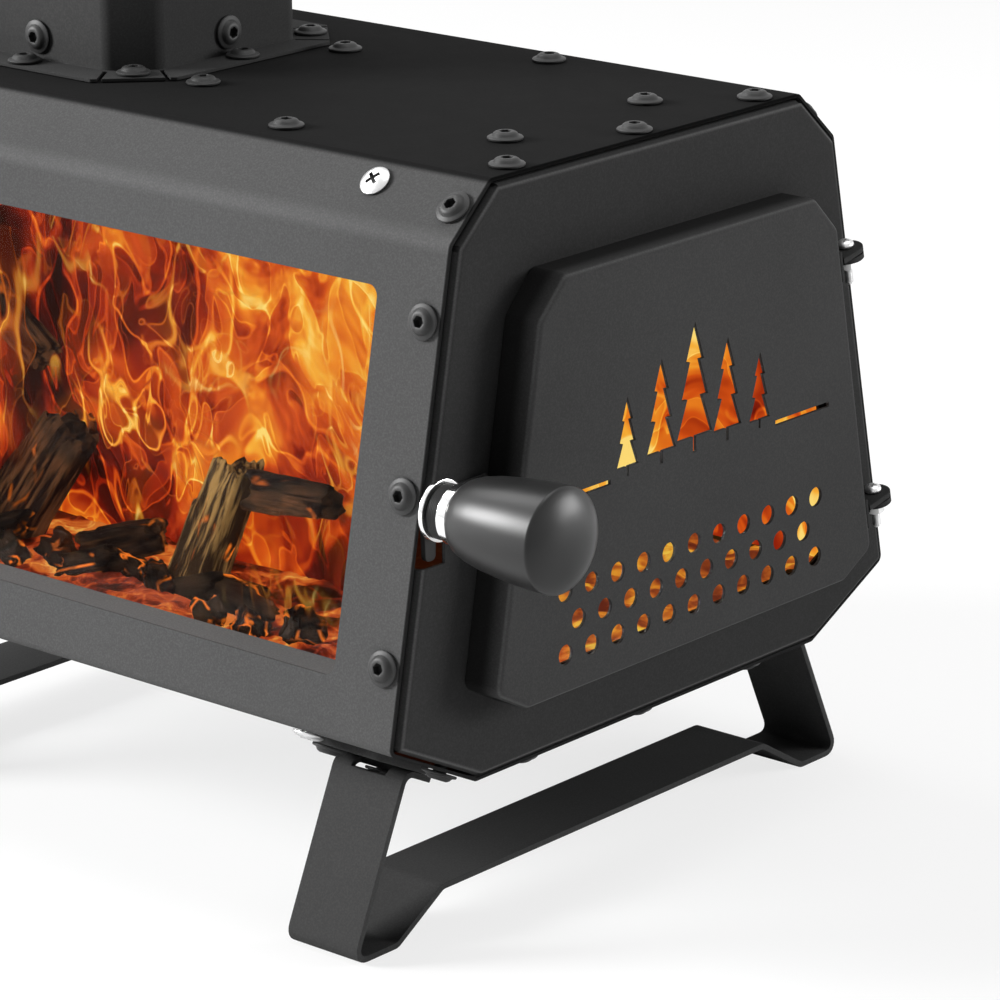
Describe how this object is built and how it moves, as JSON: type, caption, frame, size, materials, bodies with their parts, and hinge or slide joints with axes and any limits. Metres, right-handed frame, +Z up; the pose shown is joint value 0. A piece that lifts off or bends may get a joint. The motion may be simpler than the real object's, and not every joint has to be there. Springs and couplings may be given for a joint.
{
  "type": "tent wood stove",
  "caption": "Small bent-sheet tent wood stove with a side window, a swinging end door with a turning latch handle, two leg frames and a flue box.",
  "frame": {"origin": "middle of the footprint of the whole stove at floor level, under the feet", "axes": "+X along the shell towards the door and handle, +Z up, the window on the -Y side"},
  "size_m": [0.392, 0.2618, 0.3558],
  "materials": {
    "charcoal_paint": "matte",
    "black_paint": "matte",
    "black_screw": "satin",
    "bare_steel": "matte",
    "zinc": "satin",
    "bright_ring": "polished",
    "knob": "gloss",
    "gasket": "woven",
    "clear_glass": "polished"
  },
  "bodies": {
    "root": {"baffle_screw_door_end": "black_screw", "baffle_screw_flue_end": "black_screw", "body_shell": "charcoal_paint", "bracket_screw_front": "black_screw", "bracket_screw_rear": "black_screw", "fire_grate": "bare_steel", "flue_box": "charcoal_paint", "flue_collar": "charcoal_paint", "flue_flange_screw_door_side": "black_screw", "flue_flange_screw_window_side": "black_screw", "flue_lid": "charcoal_paint", "flue_upstand": "bare_steel", "flue_wall_screw_door_side": "black_screw", "flue_wall_screw_window_side": "black_screw", "front_plate": "charcoal_paint", "glass_retainer_lower": "bare_steel", "glass_retainer_upper": "bare_steel", "hinge_bolt_lower": "zinc", "hinge_bolt_upper": "zinc", "hinge_leaf_plate_lower": "black_paint", "hinge_leaf_plate_upper": "black_paint", "hinge_nut_lower": "zinc", "hinge_nut_upper": "zinc", "hip_screw": "black_screw", "leg_bracket_front_back": "black_paint", "leg_bracket_front_window": "black_paint", "leg_bracket_rear_back": "black_paint", "leg_bracket_rear_window": "black_paint", "leg_frame_front": "black_paint", "leg_frame_rear": "black_paint", "leg_screw_front_back": "black_screw", "leg_screw_front_window": "black_screw", "leg_screw_rear_back": "black_screw", "leg_screw_rear_window": "black_screw", "rear_plate": "charcoal_paint", "retainer_screw_lower_door_end": "zinc", "retainer_screw_lower_flue_end": "zinc", "retainer_screw_upper_door_end": "zinc", "retainer_screw_upper_flue_end": "zinc", "shoulder_screw": "black_screw", "side_screw_lower": "black_screw", "side_screw_middle": "black_screw", "side_screw_upper": "black_screw", "top_baffle": "bare_steel", "top_screw_back_side": "black_screw", "top_screw_middle": "black_screw", "top_screw_window_side": "black_screw", "window_frame": "charcoal_paint", "window_gasket": "gasket", "window_glass": "clear_glass"},
    "door": {"door_pan": "black_paint", "hinge_leaf_door_lower": "black_paint", "hinge_leaf_door_upper": "black_paint", "latch_tab": "black_paint"},
    "handle": {"handle_collar": "black_screw", "handle_front_ring": "bright_ring", "handle_knob": "knob", "handle_rear_ring": "bright_ring", "handle_stud": "zinc", "latch_cam": "zinc"}
  },
  "joints": [
    {"name": "door_swing", "type": "hinge", "parent": "root", "child": "door", "pos_m": [0.1457, 0.09427, 0.2027], "axis": [0, -0.1933, 0.9811], "range_deg": [0, 165]},
    {"name": "handle_turn", "type": "hinge", "parent": "door", "child": "handle", "pos_m": [0.1462, -0.11085, 0.1566], "axis": [1, 0, 0], "range_deg": [0, 90]}
  ]
}
